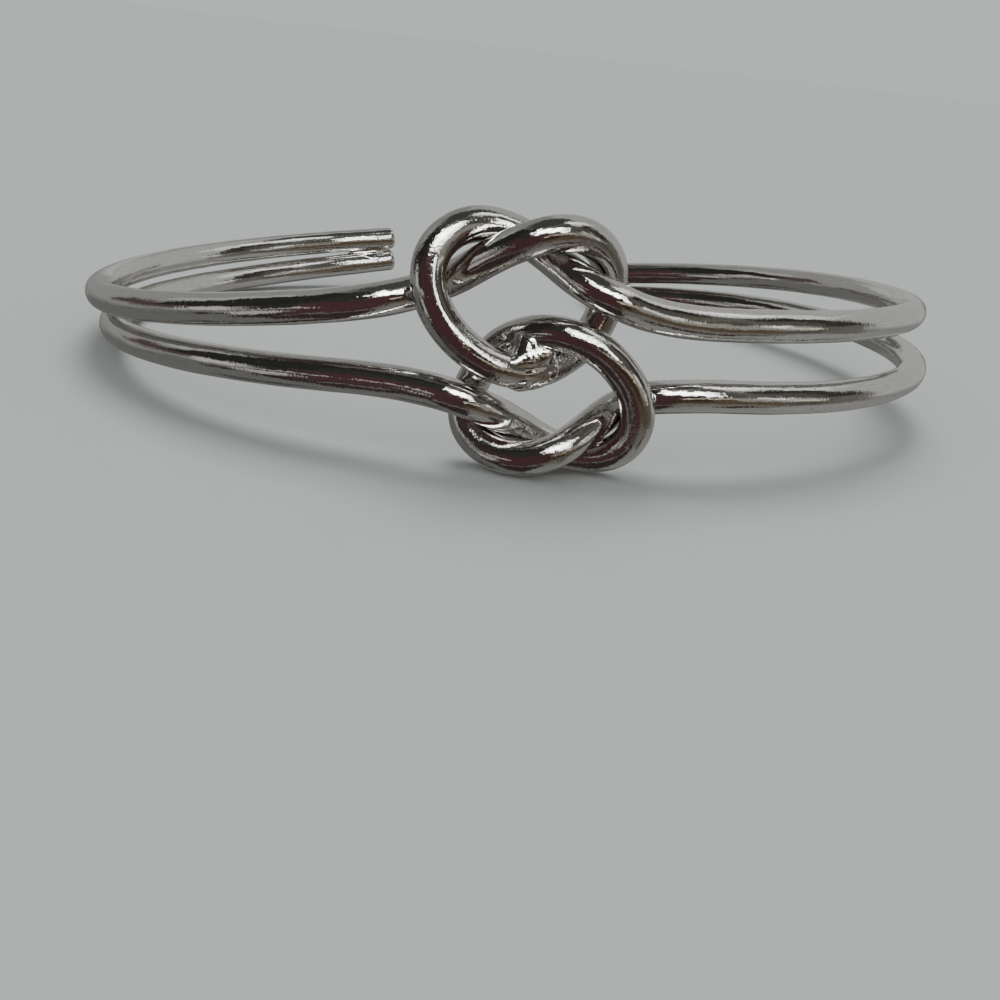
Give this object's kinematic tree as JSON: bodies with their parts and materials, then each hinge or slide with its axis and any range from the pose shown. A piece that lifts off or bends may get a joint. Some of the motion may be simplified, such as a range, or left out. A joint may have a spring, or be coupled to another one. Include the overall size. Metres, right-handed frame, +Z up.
{
  "type": "knot cuff bracelet",
  "caption": "Open cuff of two round bright wires, each tied in an overhand knot at the front; the knots hook through each other and the wires are soldered together at the back ends.",
  "frame": {"origin": "on the surface that the cuff lies on, under the middle of its bounding box", "axes": "+X across the cuff, to the right seen from the front; +Y from the knots to the opening at the back; +Z up, near the axis of the wrist. The cuff lies on its side on three places of the lower wire, so its own plane leans about 4 degrees up to the front and 3 degrees up to the left."},
  "size_m": [0.063, 0.0514, 0.015],
  "materials": {
    "bright_plate": "mirror-bright plating with a faintly wavy, lightly pitted skin"
  },
  "bodies": {
    "root": {"knot_cuff": "bright_plate"}
  },
  "joints": []
}
